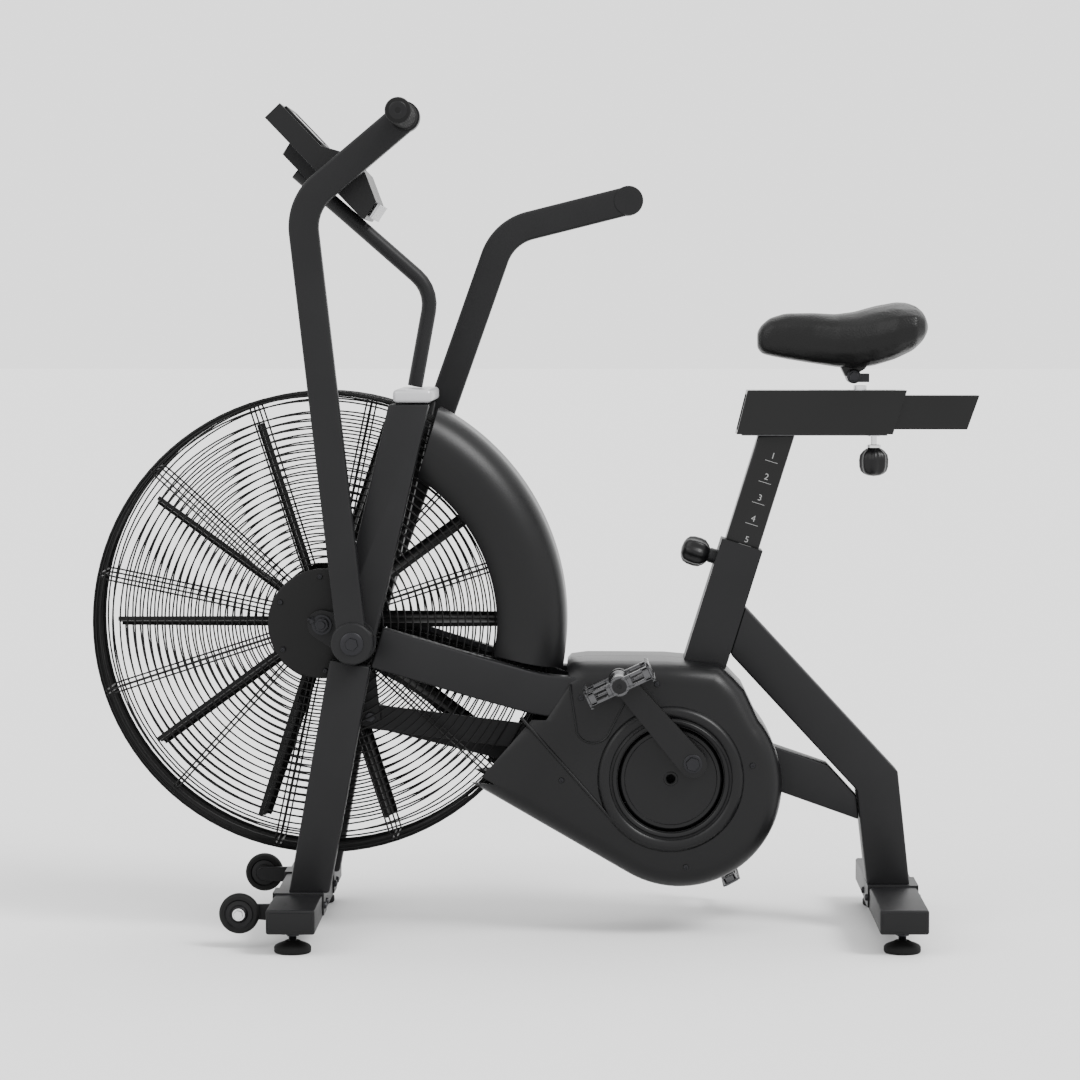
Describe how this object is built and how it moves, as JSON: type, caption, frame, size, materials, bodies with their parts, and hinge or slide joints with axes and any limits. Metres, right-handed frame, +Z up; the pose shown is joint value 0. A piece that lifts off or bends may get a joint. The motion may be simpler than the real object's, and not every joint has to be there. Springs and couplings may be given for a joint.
{
  "type": "air bike",
  "caption": "Black exercise bike with a caged fan at the front, swinging arm levers, pedals, a chain housing and an adjustable saddle.",
  "frame": {"origin": "on the floor, under the middle of the bike's bounding box", "axes": "+X from the fan to the saddle, +Y the rider's right, +Z up"},
  "size_m": [1.2937, 0.62, 1.2071],
  "materials": {
    "frame_paint": "satin textured paint",
    "black_plastic": "satin",
    "black_rubber": "matte",
    "cage_wire": "gloss paint",
    "dark_steel": "blackened",
    "silver_paint": "satin",
    "pedal_alloy": "satin",
    "chrome": "polished",
    "saddle_leather": "fine grain vinyl",
    "screen_glass": "gloss"
  },
  "bodies": {
    "root": {"front_foot_bar": "frame_paint", "rear_foot_bar": "frame_paint", "levelling_foot_front_left": "black_rubber", "levelling_foot_front_right": "black_rubber", "levelling_foot_rear_left": "black_rubber", "levelling_foot_rear_right": "black_rubber", "front_leg_left": "frame_paint", "front_leg_right": "frame_paint", "upright_left": "frame_paint", "upright_right": "frame_paint", "side_tube_left": "frame_paint", "side_tube_right": "frame_paint", "top_bridge": "silver_paint", "seat_tube": "frame_paint", "rear_brace": "frame_paint", "lower_brace": "frame_paint", "cage_grille_left": "cage_wire", "cage_grille_right": "cage_wire", "cage_rim_upper": "cage_wire", "cage_rim_lower": "cage_wire", "fan_cover": "black_plastic", "fan_axle": "dark_steel", "drive_chain": "dark_steel", "crank_housing_left": "black_plastic", "crank_housing_right": "black_plastic", "console_post": "frame_paint", "console_housing": "black_plastic", "console_screen": "screen_glass"},
    "left_arm": {"arm_left": "frame_paint", "arm_lever_left": "frame_paint", "grip_left": "black_rubber"},
    "right_arm": {"arm_right": "frame_paint", "arm_lever_right": "frame_paint", "grip_right": "black_rubber"},
    "crank": {"crank_spindle": "dark_steel", "crank_web": "dark_steel", "chainring": "dark_steel", "crank_disc_left": "black_plastic", "crank_disc_right": "black_plastic", "crank_arm_left": "black_plastic", "crank_arm_right": "black_plastic"},
    "left_link": {"link_left": "frame_paint"},
    "right_link": {"link_right": "frame_paint"},
    "left_pedal": {"pedal_left": "pedal_alloy"},
    "right_pedal": {"pedal_right": "pedal_alloy"},
    "fan": {"fan_wheel": "dark_steel", "fan_sprocket": "dark_steel"},
    "seat_mast": {"seat_rail": "frame_paint", "seat_post": "frame_paint"},
    "seat_slider": {"saddle_slider": "frame_paint", "saddle_stem": "chrome"},
    "saddle_head": {"saddle_clamp": "dark_steel", "saddle": "saddle_leather"},
    "seat_height_pin": {"height_knob": "black_plastic"},
    "slide_clamp": {"slide_knob": "black_plastic"},
    "left_wheel": {"transport_wheel_left": "black_rubber"},
    "right_wheel": {"transport_wheel_right": "black_rubber"},
    "down_button": {"button_down": "black_plastic"},
    "start_button": {"button_start": "black_plastic"},
    "up_button": {"button_up": "black_plastic"}
  },
  "joints": [
    {"name": "left_arm_swing", "type": "hinge", "parent": "root", "child": "left_arm", "pos_m": [-0.26, -0.1, 0.434], "axis": [0, 1, 0], "range_deg": [-6.9, 32.9]},
    {"name": "right_arm_swing", "type": "hinge", "parent": "root", "child": "right_arm", "pos_m": [-0.26, 0.1, 0.434], "axis": [0, 1, 0], "range_deg": [-32.9, 6.9]},
    {"name": "crank_turn", "type": "hinge", "parent": "root", "child": "crank", "pos_m": [0.197, 0, 0.234], "axis": [0, 1, 0], "continuous": true},
    {"name": "left_link_pin", "type": "hinge", "parent": "crank", "child": "left_link", "pos_m": [0.22822, -0.051, 0.25901], "axis": [0, 1, 0], "continuous": true},
    {"name": "right_link_pin", "type": "hinge", "parent": "crank", "child": "right_link", "pos_m": [0.16578, 0.051, 0.20899], "axis": [0, 1, 0], "continuous": true},
    {"name": "left_pedal_spin", "type": "hinge", "parent": "crank", "child": "left_pedal", "pos_m": [0.12209, -0.185, 0.38102], "axis": [0, 1, 0], "continuous": true},
    {"name": "right_pedal_spin", "type": "hinge", "parent": "crank", "child": "right_pedal", "pos_m": [0.27191, 0.185, 0.08698], "axis": [0, 1, 0], "continuous": true},
    {"name": "fan_turn", "type": "hinge", "parent": "root", "child": "fan", "pos_m": [-0.3085, 0, 0.4555], "axis": [0, 1, 0], "continuous": true},
    {"name": "seat_height", "type": "slide", "parent": "root", "child": "seat_mast", "axis": [0.2974, 0, 0.9548], "range_m": [-0.128, 0.064]},
    {"name": "seat_fore_aft", "type": "slide", "parent": "seat_mast", "child": "seat_slider", "axis": [1, 0, 0], "range_m": [-0.06, 0.035]},
    {"name": "saddle_tilt", "type": "hinge", "parent": "seat_slider", "child": "saddle_head", "pos_m": [0.4642, 0, 0.814], "axis": [0, 1, 0], "range_deg": [-3, 6]},
    {"name": "height_pin_pull", "type": "slide", "parent": "root", "child": "seat_height_pin", "axis": [-0.9548, 0, 0.2974], "range_m": [0, 0.008], "stiffness_N_per_m": 300, "springref_m": -0.004},
    {"name": "slide_clamp_turn", "type": "hinge", "parent": "seat_mast", "child": "slide_clamp", "pos_m": [0.4952, 0, 0.7], "axis": [0, 0, 1], "range_deg": [0, 360]},
    {"name": "left_wheel_spin", "type": "hinge", "parent": "root", "child": "left_wheel", "pos_m": [-0.4195, -0.1905, 0.051], "axis": [0, 1, 0], "continuous": true},
    {"name": "right_wheel_spin", "type": "hinge", "parent": "root", "child": "right_wheel", "pos_m": [-0.4195, 0.1905, 0.051], "axis": [0, 1, 0], "continuous": true},
    {"name": "down_button_press", "type": "slide", "parent": "root", "child": "down_button", "axis": [-0.721, 0, -0.693], "range_m": [0, 0.0015], "stiffness_N_per_m": 400, "springref_m": -0.001},
    {"name": "start_button_press", "type": "slide", "parent": "root", "child": "start_button", "axis": [-0.721, 0, -0.693], "range_m": [0, 0.0015], "stiffness_N_per_m": 400, "springref_m": -0.001},
    {"name": "up_button_press", "type": "slide", "parent": "root", "child": "up_button", "axis": [-0.721, 0, -0.693], "range_m": [0, 0.0015], "stiffness_N_per_m": 400, "springref_m": -0.001}
  ],
  "couplings": [
    {"joint": "right_arm_swing", "follows": "left_arm_swing", "ratio": -1},
    {"joint": "left_link_pin", "follows": "crank_turn", "ratio": -1},
    {"joint": "right_link_pin", "follows": "crank_turn", "ratio": -1},
    {"joint": "fan_turn", "follows": "crank_turn", "ratio": 3}
  ]
}
